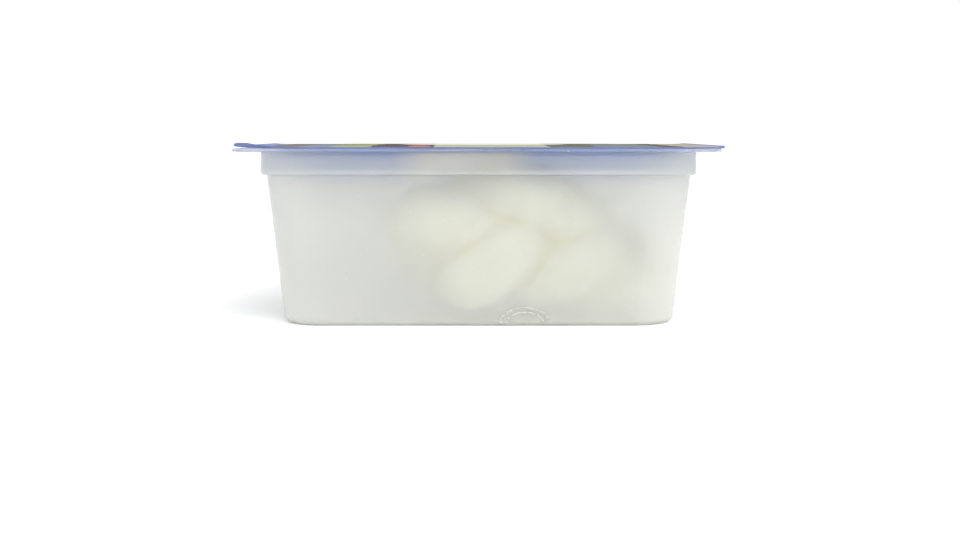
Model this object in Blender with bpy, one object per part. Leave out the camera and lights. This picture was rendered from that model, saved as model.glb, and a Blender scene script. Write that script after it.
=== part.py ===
"""A mozzarella braid in brine, in the sealed tub that it is sold in.

Three pieces, each its own solid: the frosted tub, the peel-off lid film on its flange, and the
braid of cheese inside. The brine has no solid. Lengths are in metres and +Z is up. The origin is
on the surface that the tub stands on, under the middle of its outline; a long side faces -Y.
"""
import math

import bmesh
import bpy
from mathutils import Vector, noise

MM = 0.001
GAP = 0.3 * MM                    # kept between pieces that touch

# The pack's outline, seen from above: a standard tray size, 187 mm by 137 mm.
FLANGE_LONG = 186.6 * MM
FLANGE_SHORT = 137.0 * MM
FLANGE_CORNER = 14.0 * MM
FLANGE_SHIFT = -0.7 * MM          # the flange is trimmed a little off centre
SHORTER = (FLANGE_LONG - FLANGE_SHORT) / 2     # half the short side is less by this, at any height

# The tub, from the surface that it stands on upwards.
WALL = 0.8 * MM
FOOT_HALF = 77.2 * MM             # half the long side where the walls meet the ground
FOOT_CORNER = 17.0 * MM
FOOT_FILLET = 3.0 * MM
FOOT_RING = 8.0 * MM              # width of the flat ring that the tub stands on
PANEL_CORNER = 8.5 * MM
PANEL_RISE = 1.2 * MM             # the base is raised inside that ring
PANEL_SLOPE = 1.2 * MM
TAPER = 0.0933                    # how far the walls lean out for each metre of height
LEDGE_Z = 58.5 * MM               # stacking ledge, where the body steps out to the collar
LEDGE_CORNER = 16.0 * MM
LEDGE_ROUND = 1.4 * MM
COLLAR_HALF = 84.7 * MM
COLLAR_CORNER = 15.5 * MM
COLLAR_LEAN = 0.3 * MM            # the collar draws in by this much towards the flange
FLANGE_TOP = 68.8 * MM
FLANGE_THICK = 1.1 * MM
FLANGE_ROUND = 0.8 * MM           # fillet between collar and flange
EDGE_ROUND = 0.25 * MM

# The lid film, sealed flat on the flange with its short ends curling off it.
FILM_THICK = 0.35 * MM
FILM_LONG = 187.4 * MM
FILM_SHIFT = 0.3 * MM
FILM_SWELL = 0.5 * MM             # it bulges over the opening
END_CURL = 1.2 * MM               # lift of both short edges
END_CURL_REACH = 9.0 * MM
CORNER_CURL = 0.35                # share of that lift that is left at a corner
TAB_CURL = 3.0 * MM               # lift of the front left corner, where the film is peeled
TAB_REACH = 17.0 * MM             # how far the lifted corner reaches along the diagonal
FILM_RINGS = (1.0, 0.985, 0.97, 0.95, 0.925, 0.895, 0.85, 0.76, 0.6, 0.4, 0.2)

# The braid: three strands, laid as a horseshoe open to the left. Its near half stands on edge
# against the front wall, and its far half lies down on the floor.
BRAID_CENTRE = Vector((4.0, 3.0, 35.5)) * MM
BRAID_REACH_X = 45.0 * MM
BRAID_REACH_Y = 40.0 * MM
BRAID_START = math.radians(-40.0)
BRAID_END = math.radians(150.0)
BRAID_SINK = 14.0 * MM            # the far half's middle is this much lower
BRAID_LEAN = math.radians(60.0)   # and its broad side leans back by this much
LEAN_FROM = 0.33                  # share of the length where it starts to lie down
LEAN_TO = 0.65
NEAR_DROOP = 5.5 * MM             # the near end hangs lower
DROOP_REACH = 0.25
STRAND_RADIUS = 14.0 * MM
STRAND_ACROSS = 15.0 * MM         # swing of a strand across the braid
STRAND_THROUGH = 7.5 * MM         # swing of a strand through the braid
CROSSINGS = 4.1                   # lobes along each edge
PLAIT_START = math.radians(85.0)
END_PINCH = 0.5                   # the plait closes up to this share of its width at its ends
PINCH_REACH = 0.14                # over this share of its length
END_SIZES = (0.96, 0.7, 0.42)     # each strand's ends are this share of its full radius
THICK_AND_THIN = ((0.05, 9.0, 2.1), (0.03, 23.0, 4.0))     # waves of a strand's thickness
CORE_RADIUS = 8.0 * MM            # the strands are pressed together round this middle
CORE_INSET = 0.04                 # which ends this share of the length before they do
LUMP_SIZE = 14.0 * MM             # hand-made unevenness of the skin
LUMP_HEIGHT = 0.7 * MM
WALL_CLEARANCE = 0.8 * MM         # from the braid to the tub's walls
FLOOR_CLEARANCE = 0.5 * MM        # and to its floor
PRESS_SHARE = 0.06                # where it is pressed flat, this much of its roundness is left
HEADROOM = 2.2 * MM               # from the braid's top to the film

CORNER_STEPS = 10
SIDE_STEP = 9.0 * MM
STRAND_SIDES = 22
STRAND_STEPS = 70
CAP_ANGLES = (22.5, 45.0, 67.5)
CREASE_ANGLE = math.radians(35.0)


def clear_scene():
    for thing in list(bpy.data.objects):
        bpy.data.objects.remove(thing, do_unlink=True)


def finish(name, colour, roughness):
    """A plain Principled finish for one piece."""
    material = bpy.data.materials.new(name)
    material.use_nodes = True
    shader = material.node_tree.nodes["Principled BSDF"]
    shader.inputs["Base Color"].default_value = (*colour, 1.0)
    shader.inputs["Roughness"].default_value = roughness
    shader.inputs["Metallic"].default_value = 0.0
    return material


def add_piece(name, bm, material):
    """Turn a bmesh into the named object, smooth except at real edges."""
    bmesh.ops.recalc_face_normals(bm, faces=bm.faces)
    mesh = bpy.data.meshes.new(name)
    bm.to_mesh(mesh)
    bm.free()
    mesh.materials.append(material)
    mesh.shade_smooth()
    mesh.set_sharp_from_angle(angle=CREASE_ANGLE)
    piece = bpy.data.objects.new(name, mesh)
    bpy.context.scene.collection.objects.link(piece)
    return piece


def arc(centre, radius, start, stop, steps):
    """Points (across, up) on an arc, angles in degrees from straight outwards."""
    points = []
    for step in range(steps + 1):
        angle = math.radians(start + (stop - start) * step / steps)
        points.append((centre[0] + radius * math.cos(angle), centre[1] + radius * math.sin(angle)))
    return points


def rounded_outline(half_long, half_short, corner, shift=0.0, side_step=None):
    """Points (x, y) round a rectangle with round corners, anticlockwise from the right side."""
    points = []
    middles = ((1, 1, 0.0), (-1, 1, 90.0), (-1, -1, 180.0), (1, -1, 270.0))
    for sign_x, sign_y, first in middles:
        middle = (sign_x * (half_long - corner), sign_y * (half_short - corner))
        points += arc(middle, corner, first, first + 90.0, CORNER_STEPS)
    if side_step:
        points = divide_long_sides(points, side_step)
    return [(x + shift, y) for x, y in points]


def divide_long_sides(points, side_step):
    """Add points along the straight stretches of an outline, about side_step apart."""
    divided = []
    for here, there in zip(points, points[1:] + points[:1]):
        parts = max(1, round(math.dist(here, there) / side_step))
        for part in range(parts):
            share = part / parts
            divided.append((here[0] + (there[0] - here[0]) * share,
                            here[1] + (there[1] - here[1]) * share))
    return divided


def join_rings(bm, lower, upper):
    """A band of faces between two rings of as many points."""
    count = len(lower)
    for i in range(count):
        j = (i + 1) % count
        bm.faces.new((lower[i], lower[j], upper[j], upper[i]))


def outer_half(z):
    """Half the long side of the body's outside, at height z."""
    return FOOT_HALF + TAPER * z


def tub_profile():
    """The tub's section as rows (half_long, z, corner, shift), from under the base over the
    flange and down to the floor inside."""
    panel = FOOT_HALF - FOOT_FILLET - FOOT_RING
    flange_bottom = FLANGE_TOP - FLANGE_THICK
    flange_half = FLANGE_LONG / 2
    rows = [(panel - PANEL_SLOPE, PANEL_RISE, PANEL_CORNER, 0.0),
            (panel, 0.0, PANEL_CORNER, 0.0)]
    foot_arc = arc((outer_half(FOOT_FILLET) - FOOT_FILLET, FOOT_FILLET), FOOT_FILLET, -90.0, 0.0, 5)
    rows += [(half, z, FOOT_CORNER, 0.0) for half, z in foot_arc]
    rows.append((outer_half(LEDGE_Z), LEDGE_Z, LEDGE_CORNER, 0.0))
    ledge_arc = arc((COLLAR_HALF - LEDGE_ROUND, LEDGE_Z + LEDGE_ROUND), LEDGE_ROUND, -90.0, 0.0, 4)
    rows += [(half, z, COLLAR_CORNER, 0.0) for half, z in ledge_arc]
    collar_top = COLLAR_HALF - COLLAR_LEAN
    under_arc = arc((collar_top + FLANGE_ROUND, flange_bottom - FLANGE_ROUND),
                    FLANGE_ROUND, 180.0, 90.0, 3)
    rows += [(half, z, COLLAR_CORNER, 0.0) for half, z in under_arc]
    rows += [(flange_half - EDGE_ROUND, flange_bottom, FLANGE_CORNER, FLANGE_SHIFT),
             (flange_half, flange_bottom + EDGE_ROUND, FLANGE_CORNER, FLANGE_SHIFT),
             (flange_half, FLANGE_TOP - EDGE_ROUND, FLANGE_CORNER, FLANGE_SHIFT),
             (flange_half - EDGE_ROUND, FLANGE_TOP, FLANGE_CORNER, FLANGE_SHIFT)]
    mouth = collar_top - WALL
    mouth_arc = arc((mouth + FLANGE_ROUND, FLANGE_TOP - FLANGE_ROUND), FLANGE_ROUND, 90.0, 180.0, 3)
    rows += [(half, z, COLLAR_CORNER - WALL, 0.0) for half, z in mouth_arc]
    shelf = LEDGE_Z + WALL
    shelf_round = LEDGE_ROUND - WALL
    shelf_arc = arc((COLLAR_HALF - LEDGE_ROUND, shelf + shelf_round), shelf_round, 0.0, -90.0, 3)
    rows += [(half, z, COLLAR_CORNER - WALL, 0.0) for half, z in shelf_arc]
    rows.append((outer_half(shelf) - WALL, shelf, LEDGE_CORNER - WALL, 0.0))
    inner_fillet = FOOT_FILLET - WALL
    floor_arc = arc((outer_half(FOOT_FILLET) - FOOT_FILLET, FOOT_FILLET), inner_fillet, 0.0, -90.0, 4)
    rows += [(half, z, FOOT_CORNER - WALL, 0.0) for half, z in floor_arc]
    rows += [(panel, WALL, PANEL_CORNER, 0.0),
             (panel - PANEL_SLOPE, PANEL_RISE + WALL, PANEL_CORNER, 0.0)]
    return rows


def make_tub():
    """Turn the profile round the rectangular outline, into one thin-walled vessel."""
    bm = bmesh.new()
    rings = []
    for half_long, z, corner, shift in tub_profile():
        outline = rounded_outline(half_long, half_long - SHORTER, corner, shift)
        rings.append([bm.verts.new((x, y, z)) for x, y in outline])
    for lower, upper in zip(rings, rings[1:]):
        join_rings(bm, lower, upper)
    bm.faces.new(rings[0])
    bm.faces.new(rings[-1])
    return add_piece("tub", bm, finish("frosted_plastic", (0.84, 0.86, 0.86), 0.45))


def film_lift(x, y):
    """How far the film stands off its sealed level at a point."""
    half_long = FILM_LONG / 2
    half_short = FLANGE_SHORT / 2
    mouth_long = COLLAR_HALF - WALL
    mouth_short = mouth_long - SHORTER
    across = max(0.0, 1.0 - (x / mouth_long) ** 4)
    along = max(0.0, 1.0 - (y / mouth_short) ** 4)
    swell = FILM_SWELL * across * along
    from_end = half_long - abs(x - FILM_SHIFT)
    sealed_corner = min(1.0, max(0.0, (half_short - abs(y)) / FLANGE_CORNER))
    share = CORNER_CURL + (1.0 - CORNER_CURL) * sealed_corner
    curl = END_CURL * share * max(0.0, 1.0 - from_end / END_CURL_REACH) ** 2
    from_corner = ((x - FILM_SHIFT + half_long) + (y + half_short)) / math.sqrt(2.0)
    tip = FLANGE_CORNER * (2.0 - math.sqrt(2.0)) / math.sqrt(2.0)
    tab = TAB_CURL * max(0.0, 1.0 - (from_corner - tip) / TAB_REACH) ** 2
    return swell + curl + tab


def make_lid_film():
    """Rings of the outline shrinking to the middle, lifted into shape, with an even thickness."""
    outline = rounded_outline(FILM_LONG / 2, FLANGE_SHORT / 2, FLANGE_CORNER, 0.0, SIDE_STEP)
    sealed_level = FLANGE_TOP + GAP
    bm = bmesh.new()
    edges = []
    for thickness in (0.0, FILM_THICK):
        rings = []
        for scale in FILM_RINGS:
            ring = []
            for x, y in outline:
                place_x = x * scale + FILM_SHIFT
                height = sealed_level + thickness + film_lift(place_x, y * scale)
                ring.append(bm.verts.new((place_x, y * scale, height)))
            rings.append(ring)
        for outer, inner in zip(rings, rings[1:]):
            join_rings(bm, outer, inner)
        middle = bm.verts.new((FILM_SHIFT, 0.0, sealed_level + thickness + film_lift(FILM_SHIFT, 0.0)))
        last = rings[-1]
        for i, corner in enumerate(last):
            bm.faces.new((corner, last[(i + 1) % len(last)], middle))
        edges.append(rings[0])
    join_rings(bm, edges[0], edges[1])
    return add_piece("lid_film", bm, finish("film_blue", (0.25, 0.33, 0.62), 0.35))


def ease(share):
    """0 below 0, 1 above 1, and a smooth step between."""
    share = min(1.0, max(0.0, share))
    return share * share * (3.0 - 2.0 * share)


def end_fade(share, reach):
    """0 at both ends of the braid, 1 once further in than reach."""
    return ease(min(share, 1.0 - share) / reach)


def end_width(share):
    """Width of the plait at a share of its length: full, and closing up at both ends."""
    return END_PINCH + (1.0 - END_PINCH) * end_fade(share, PINCH_REACH)


def lying_down(share):
    """0 where the braid stands on edge, 1 where it lies down."""
    return ease((share - LEAN_FROM) / (LEAN_TO - LEAN_FROM))


def braid_middle(share):
    """Centre of the braid at a share of its length."""
    turn = BRAID_START + (BRAID_END - BRAID_START) * share
    drop = BRAID_SINK * lying_down(share) + NEAR_DROOP * (1.0 - ease(share / DROOP_REACH))
    x = BRAID_REACH_X * math.sin(turn)
    y = -BRAID_REACH_Y * math.cos(turn)
    return BRAID_CENTRE + Vector((x, y, -drop))


def braid_directions(share):
    """The directions through and across the braid at a share of its length."""
    step = 0.005
    along = (braid_middle(share + step) - braid_middle(share - step)).normalized()
    outward = along.cross(Vector((0.0, 0.0, 1.0))).normalized()
    upward = outward.cross(along).normalized()
    lean = BRAID_LEAN * lying_down(share)
    across = upward * math.cos(lean) - outward * math.sin(lean)
    through = outward * math.cos(lean) + upward * math.sin(lean)
    return through, across


def strand_point(share, strand):
    """A point of one strand's centre line; strand 0, 1 or 2."""
    through, across = braid_directions(share)
    phase = PLAIT_START + 2.0 * math.pi * (CROSSINGS * share / 3.0 + strand / 3.0)
    width = end_width(share)
    return (braid_middle(share) + across * (STRAND_ACROSS * width * math.sin(phase))
            - through * (STRAND_THROUGH * width * math.sin(2.0 * phase)))


def strand_radius(share, strand):
    """Hand-pulled strands: thicker and thinner along their length, slimmer at the ends."""
    uneven = sum(height * math.sin(rate * share + step * strand)
                 for height, rate, step in THICK_AND_THIN)
    end_size = END_SIZES[strand]
    fullness = end_size + (1.0 - end_size) * end_fade(share, PINCH_REACH)
    return STRAND_RADIUS * (1.0 + uneven) * fullness


def tube(centre_line, radius_at, sides, steps):
    """A bmesh tube with round ends along centre_line(share), with share from 0 to 1."""
    small = 0.004
    stations = []
    for step in range(steps + 1):
        share = step / steps
        place = centre_line(share)
        along = (centre_line(share + small) - centre_line(share - small)).normalized()
        stations.append((place, along, radius_at(share)))
    first, last = stations[0], stations[-1]
    cap_angles = [math.radians(angle) for angle in CAP_ANGLES]
    head = [(first[0] - first[1] * first[2] * math.sin(a), first[1], first[2] * math.cos(a))
            for a in reversed(cap_angles)]
    tail = [(last[0] + last[1] * last[2] * math.sin(a), last[1], last[2] * math.cos(a))
            for a in cap_angles]
    bm = bmesh.new()
    rings = []
    side = Vector((0.0, 0.0, 1.0))
    for place, along, radius in head + stations + tail:
        side = (side - along * side.dot(along)).normalized()
        other = along.cross(side)
        ring = []
        for i in range(sides):
            angle = 2.0 * math.pi * i / sides
            ring.append(bm.verts.new(place + (side * math.cos(angle) + other * math.sin(angle)) * radius))
        rings.append(ring)
    for lower, upper in zip(rings, rings[1:]):
        join_rings(bm, lower, upper)
    head_tip = bm.verts.new(first[0] - first[1] * first[2])
    tail_tip = bm.verts.new(last[0] + last[1] * last[2])
    for ring, tip in ((rings[0], head_tip), (rings[-1], tail_tip)):
        for i in range(sides):
            bm.faces.new((ring[i], ring[(i + 1) % sides], tip))
    return bm


def core_point(share):
    """The middle of the braid, a little shorter than the strands."""
    return braid_middle(CORE_INSET + (1.0 - 2.0 * CORE_INSET) * share)


def pressed(value, low, high):
    """A value that is pressed back almost wholly where it lies outside low to high."""
    nearest = min(max(value, low), high)
    return nearest + PRESS_SHARE * (value - nearest)


def keep_in_tub(place):
    """Press a point of the braid flat where it would touch the tub's walls, floor or film."""
    z = pressed(place.z, PANEL_RISE + WALL + FLOOR_CLEARANCE, FLANGE_TOP - HEADROOM)
    half_long = outer_half(min(z, LEDGE_Z)) - WALL - WALL_CLEARANCE
    half_short = half_long - SHORTER
    return Vector((pressed(place.x, -half_long, half_long), pressed(place.y, -half_short, half_short), z))


def drop_scraps(bm):
    """Keep only the largest skin: sealed hollows fill up, and loose scraps go."""
    unseen = set(bm.faces)
    skins = []
    while unseen:
        skin = [unseen.pop()]
        for face in skin:
            for edge in face.edges:
                for other in edge.link_faces:
                    if other in unseen:
                        unseen.remove(other)
                        skin.append(other)
        skins.append(skin)
    skins.sort(key=len)
    scraps = [face for skin in skins[:-1] for face in skin]
    bmesh.ops.delete(bm, geom=scraps, context="FACES")


def make_braid():
    """Three strands and a core joined by one Boolean, then pressed into the space of the tub."""
    finish_cheese = finish("cheese", (0.93, 0.91, 0.80), 0.5)
    strands = bpy.data.collections.new("strands")
    bpy.context.scene.collection.children.link(strands)
    for number in range(3):
        bm = tube(lambda share, n=number: strand_point(share, n),
                  lambda share, n=number: strand_radius(share, n), STRAND_SIDES, STRAND_STEPS)
        strand = add_piece(f"strand_{number}", bm, finish_cheese)
        bpy.context.scene.collection.objects.unlink(strand)
        strands.objects.link(strand)
    braid = add_piece("braid", tube(core_point, lambda share: CORE_RADIUS, 8, 24), finish_cheese)
    union = braid.modifiers.new("join", "BOOLEAN")
    union.operation = "UNION"
    union.operand_type = "COLLECTION"
    union.collection = strands
    union.solver = "EXACT"
    union.use_self = True
    evaluated = braid.evaluated_get(bpy.context.evaluated_depsgraph_get())
    joined = bmesh.new()
    joined.from_mesh(evaluated.to_mesh())
    evaluated.to_mesh_clear()
    drop_scraps(joined)
    for strand in list(strands.objects):
        bpy.data.objects.remove(strand, do_unlink=True)
    bpy.data.collections.remove(strands)
    bpy.data.objects.remove(braid, do_unlink=True)
    for vert in joined.verts:
        lump = noise.noise(vert.co / LUMP_SIZE) * LUMP_HEIGHT
        vert.co = keep_in_tub(vert.co + vert.normal * lump)
    return add_piece("braid", joined, finish_cheese)


def main():
    clear_scene()
    make_tub()
    make_lid_film()
    make_braid()


main()
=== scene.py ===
# %% [markdown]
# # A mozzarella braid in its frosted tub
# The real thing is a plait of fresh cheese, lying in brine in a milky plastic tub with a printed
# film sealed on top. Hardly anything of the braid is seen directly: what makes the picture is light
# that goes through a frosted wall and a cloudy liquid. So this lesson models the tub with a true
# wall thickness, gives the brine a real cloudy volume, and puts a full braid inside it.

# %% Load the frame
import math
import random

import bmesh
import bpy
import numpy as np
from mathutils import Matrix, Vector, noise


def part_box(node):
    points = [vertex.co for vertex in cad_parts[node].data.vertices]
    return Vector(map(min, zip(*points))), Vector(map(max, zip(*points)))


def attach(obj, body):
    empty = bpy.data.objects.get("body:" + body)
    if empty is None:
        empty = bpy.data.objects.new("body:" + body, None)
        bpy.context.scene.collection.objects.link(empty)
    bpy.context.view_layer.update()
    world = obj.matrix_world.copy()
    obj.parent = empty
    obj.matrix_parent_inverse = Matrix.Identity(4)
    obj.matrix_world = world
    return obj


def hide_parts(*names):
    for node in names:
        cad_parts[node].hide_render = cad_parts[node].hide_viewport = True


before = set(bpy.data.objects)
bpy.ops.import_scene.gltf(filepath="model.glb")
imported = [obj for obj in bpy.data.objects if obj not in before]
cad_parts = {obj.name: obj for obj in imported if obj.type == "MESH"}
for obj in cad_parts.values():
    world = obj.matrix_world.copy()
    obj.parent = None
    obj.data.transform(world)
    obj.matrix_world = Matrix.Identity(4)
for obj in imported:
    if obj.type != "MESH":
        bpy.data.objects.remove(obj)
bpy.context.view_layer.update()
MM = 0.001
bpy.ops.object.select_all(action="DESELECT")
print("solids:", ", ".join(sorted(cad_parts)))

# %% [markdown]
# ## Sizes
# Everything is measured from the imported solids, so that each piece lands where its solid is. The
# tub's box gives its flange and height. The few sizes that a box can't tell, such as the ledge
# height, are named here in millimetres, as on a drawing.

# %% Sizes of the tub
tub_low, tub_high = (Vector(corner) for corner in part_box("tub"))
film_low, film_high = (Vector(corner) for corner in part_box("lid_film"))
FLANGE_TOP = tub_high.z
FLANGE_HALF_X = (tub_high.x - tub_low.x) / 2
FLANGE_HALF_Y = (tub_high.y - tub_low.y) / 2
FLANGE_SHIFT = (tub_high.x + tub_low.x) / 2
SHORTER = FLANGE_HALF_X - FLANGE_HALF_Y
WALL = 0.8 * MM
FOOT_HALF = 77.2 * MM
TAPER = 0.0933
LEDGE_Z = 58.5 * MM
COLLAR_HALF = 84.7 * MM
COLLAR_LEAN = 0.3 * MM
print(f"flange {2 * FLANGE_HALF_X / MM:.1f} by {2 * FLANGE_HALF_Y / MM:.1f} mm, "
      f"top at {FLANGE_TOP / MM:.1f} mm")


def body_half(z):
    """Half the long side of the tub's outside at height z, below the ledge."""
    return FOOT_HALF + TAPER * z


def collar_half(z):
    """Half the long side of the tub's outside at height z, above the ledge."""
    return COLLAR_HALF - COLLAR_LEAN * (z - LEDGE_Z) / (FLANGE_TOP - LEDGE_Z)


# %% [markdown]
# ## Camera
# The photograph is taken from straight in front, a little above the film, so that only a sliver of
# the film's top shows. A level camera would need a large lens shift to put the tub where it is in
# the picture. Tilting the camera down by the same angle frames it without any shift, and standing a
# little further back makes up for the slight narrowing towards the foot that tilting brings.

# %% Camera
PHOTO_WIDTH = 960
PHOTO_HEIGHT = 540
FRONT_SCALE = 0.3732 * MM         # size of a pixel at the flange's front edge
FOCAL_PIXELS = 1405
EYE_LINE = 130.5                  # pixel row of the camera's own height
FILM_EDGE_ROW = 147.0
PHOTO_CENTRE = 478.5              # pixel column of the tub's middle
FILM_TOP_ABOVE = 0.7 * MM         # the film's top above the flange
film_edge_z = FLANGE_TOP + FILM_TOP_ABOVE
distance = FOCAL_PIXELS * FRONT_SCALE
eye_x = (PHOTO_WIDTH / 2 - PHOTO_CENTRE) * FRONT_SCALE
eye_z = film_edge_z + (FILM_EDGE_ROW - EYE_LINE) * FRONT_SCALE
pitch = math.atan((PHOTO_HEIGHT / 2 - EYE_LINE) / FOCAL_PIXELS)
bpy.ops.object.camera_add(location=(eye_x, tub_low.y - distance, eye_z),
                          rotation=(math.radians(90.0) - pitch, 0.0, 0.0))
camera = bpy.context.object
camera.name = "photo_camera"
camera.data.sensor_width = 36.0
camera.data.lens = FOCAL_PIXELS / PHOTO_WIDTH * camera.data.sensor_width
camera.data.clip_end = 20.0
bpy.context.scene.camera = camera
print(f"camera {distance:.3f} m in front, {math.degrees(pitch):.1f} degrees down")


def photo_place(column, row, y):
    """The point at depth y that the photograph shows at a pixel."""
    across = (column - PHOTO_WIDTH / 2) / FOCAL_PIXELS
    down = (row - PHOTO_HEIGHT / 2) / FOCAL_PIXELS
    ahead = math.cos(pitch) - down * math.sin(pitch)
    drop = math.sin(pitch) + down * math.cos(pitch)
    reach = (y - camera.location.y) / ahead
    return Vector((camera.location.x + across * reach, y, camera.location.z - drop * reach))


# %% [markdown]
# ## Studio
# The photograph has a pure white background and hardly any shadow. A white surround gives light
# from all sides, which is what a frosted wall needs to glow. One large soft lamp stands in front,
# high up and to the right, because the photograph's tub is a little lighter at its right-hand end.
# The floor is a pale sheet that runs out of sight.

# %% Floor
FLOOR_SIZE, FLOOR_BACK = 6.0, 1.5
FLOOR_COLOUR = (0.98, 0.98, 0.98, 1.0)
bpy.ops.mesh.primitive_plane_add(size=FLOOR_SIZE, location=(0.0, FLOOR_BACK, 0.0))
floor = bpy.context.object
floor.name = "floor"
floor_finish = bpy.data.materials.new("pale_floor")
floor_finish.use_nodes = True
floor_shader = floor_finish.node_tree.nodes["Principled BSDF"]
floor_shader.inputs["Base Color"].default_value = FLOOR_COLOUR
floor_shader.inputs["Roughness"].default_value = 0.7
floor.data.materials.append(floor_finish)
print(f"floor {FLOOR_SIZE} m wide")

# %% Lamp and surround
LAMP_PLACE = (0.32, -0.7, 0.92)
LAMP_AIM = Vector((0.0, 0.0, 0.03))
LAMP_WIDTH, LAMP_DEPTH, LAMP_WATTS = 0.9, 0.6, 9.0
SURROUND_STRENGTH = 1.07
bpy.ops.object.light_add(type="AREA", location=LAMP_PLACE)
lamp = bpy.context.object
lamp.name = "soft_lamp"
lamp.data.shape = "RECTANGLE"
lamp.data.size = LAMP_WIDTH
lamp.data.size_y = LAMP_DEPTH
lamp.data.energy = LAMP_WATTS
lamp.rotation_euler = (LAMP_AIM - lamp.location).to_track_quat("-Z", "Y").to_euler()

surround = bpy.data.worlds.new("white_surround")
surround.use_nodes = True
backdrop = surround.node_tree.nodes["Background"]
backdrop.inputs["Color"].default_value = (1.0, 1.0, 1.0, 1.0)
backdrop.inputs["Strength"].default_value = SURROUND_STRENGTH
scene = bpy.context.scene
scene.world = surround
scene.view_settings.view_transform = "Standard"
print(f"lamp of {LAMP_WATTS} W, surround at {SURROUND_STRENGTH}")

# %% [markdown]
# Light reaches the cheese only after many small turns in the wall and the brine. With Blender's
# usual limits those paths would be cut short and the tub would look grey, so the limits go up.

# %% Light paths
scene.cycles.max_bounces = 24
scene.cycles.diffuse_bounces = 6
scene.cycles.glossy_bounces = 6
scene.cycles.transmission_bounces = 16
scene.cycles.transparent_max_bounces = 24
scene.cycles.volume_bounces = 14
print("up to", scene.cycles.max_bounces, "turns for each ray")

# %% [markdown]
# ## Helpers for making shapes
# The tub, the brine and the film all have the same outline, a rectangle with round corners, at
# different sizes. Each outline is made as one would by hand: a plane is added and its four corners
# are bevelled round. For a ring its face is deleted, so that only the edge is left.

# %% Rounded planes and rings
CORNER_STEPS = 12


def selected_only(piece):
    """Make one object the only selected and the active one."""
    bpy.ops.object.select_all(action="DESELECT")
    piece.select_set(True)
    bpy.context.view_layer.objects.active = piece


def edit_all():
    """Enter edit mode with everything selected."""
    bpy.ops.object.mode_set(mode="EDIT")
    bpy.ops.mesh.select_all(action="SELECT")


def leave_edit():
    """Go back to object mode."""
    bpy.ops.object.mode_set(mode="OBJECT")


def join_all(pieces):
    """Join a list of objects into its first one."""
    selected_only(pieces[0])
    for piece in pieces[1:]:
        piece.select_set(True)
    bpy.ops.object.join()
    return pieces[0]


def add_rounded_plane(half_long, half_short, corner, place):
    """A flat rectangle with round corners, still in edit mode."""
    bpy.ops.mesh.primitive_plane_add(size=2.0, location=place)
    plane = bpy.context.object
    plane.scale = (half_long, half_short, 1.0)
    bpy.ops.object.transform_apply(location=True, rotation=False, scale=True)
    edit_all()
    bpy.ops.mesh.bevel(offset=corner, offset_type="OFFSET", segments=CORNER_STEPS, affect="VERTICES")
    return plane


def add_ring(half_long, corner, z, shift=0.0):
    """A loop of edges: a rounded rectangle whose half long side is half_long, at height z."""
    ring = add_rounded_plane(half_long, half_long - SHORTER, corner, (shift, 0.0, z))
    bpy.ops.mesh.delete(type="ONLY_FACE")
    leave_edit()
    return ring


# %% [markdown]
# A stack of such rings, joined one to the next, makes any moulded tray. Blender's bridge operator
# twists two rings that lie at one height, so the rings are joined edge by edge: all have their
# vertices in one order. The first and the last ring are then filled, which closes the skin.

# %% Rings joined to a loft


def bridge_rings(skin, count):
    """Join each ring of count vertices to the next one, edge to the same edge."""
    mesh = bmesh.new()
    mesh.from_mesh(skin.data)
    mesh.verts.ensure_lookup_table()
    pairs = [(edge.verts[0].index, edge.verts[1].index) for edge in mesh.edges]
    for a, b in pairs:
        if max(a, b) + count < len(mesh.verts):
            mesh.faces.new([mesh.verts[number] for number in (a, b, b + count, a + count)])
    mesh.to_mesh(skin.data)
    mesh.free()


def face_outwards(piece):
    """Turn all faces outwards. A shape with an overhang can fool the operator, so it is measured."""
    selected_only(piece)
    edit_all()
    bpy.ops.mesh.normals_make_consistent(inside=False)
    mesh = bmesh.from_edit_mesh(piece.data)
    if mesh.calc_volume(signed=True) < 0.0:
        bpy.ops.mesh.flip_normals()
    leave_edit()


def select_vertices(piece, wanted):
    """In edit mode, select the vertices that pass a test, and the edges and faces between them."""
    mesh = bmesh.from_edit_mesh(piece.data)
    mesh.verts.ensure_lookup_table()
    for face in mesh.faces:
        face.select = False
    for vert in mesh.verts:
        vert.select = wanted(vert)
    mesh.select_mode = {"VERT"}
    mesh.select_flush_mode()
    mesh.select_flush(True)
    bmesh.update_edit_mesh(piece.data)


def loft(name, sections):
    """Join a list of sections, as add_ring takes them, into one closed skin."""
    rings = [add_ring(*section) for section in sections]
    skin = rings[0]
    for ring in rings[1:]:
        join_all([skin, ring])
    count = len(skin.data.vertices) // len(sections)
    bridge_rings(skin, count)
    selected_only(skin)
    bpy.ops.object.mode_set(mode="EDIT")
    for number in (0, len(sections) - 1):
        select_vertices(skin, lambda vert, n=number: n * count <= vert.index < (n + 1) * count)
        bpy.ops.mesh.edge_face_add()
    leave_edit()
    face_outwards(skin)
    skin.name = name
    skin.data.name = name
    return skin


# %% Shading and arcs


def shade(piece, angle=35.0):
    """Smooth shading, with real edges kept sharp."""
    selected_only(piece)
    bpy.ops.object.shade_smooth_by_angle(angle=math.radians(angle))


def arc_sections(corner, across, up, radius, start, stop, steps):
    """Sections along an arc of the profile, with its angles in degrees from straight outwards."""
    angles = [math.radians(start + (stop - start) * step / steps) for step in range(steps + 1)]
    return [(across + radius * math.cos(angle), corner, up + radius * math.sin(angle)) for angle in angles]


# %% [markdown]
# ## The tub
# A real tub of this kind is blown or pressed from one warm sheet of polypropylene, less than a
# millimetre thick. Its section has a foot ring, a wall that leans out, a ledge on which stacked
# empty tubs rest, a collar, and a flat flange for the film. The loft follows that section up the
# outside, over the flange and down the inside to the floor, so the wall gets its true thickness and
# light is bent and scattered at both of its faces.

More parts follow.
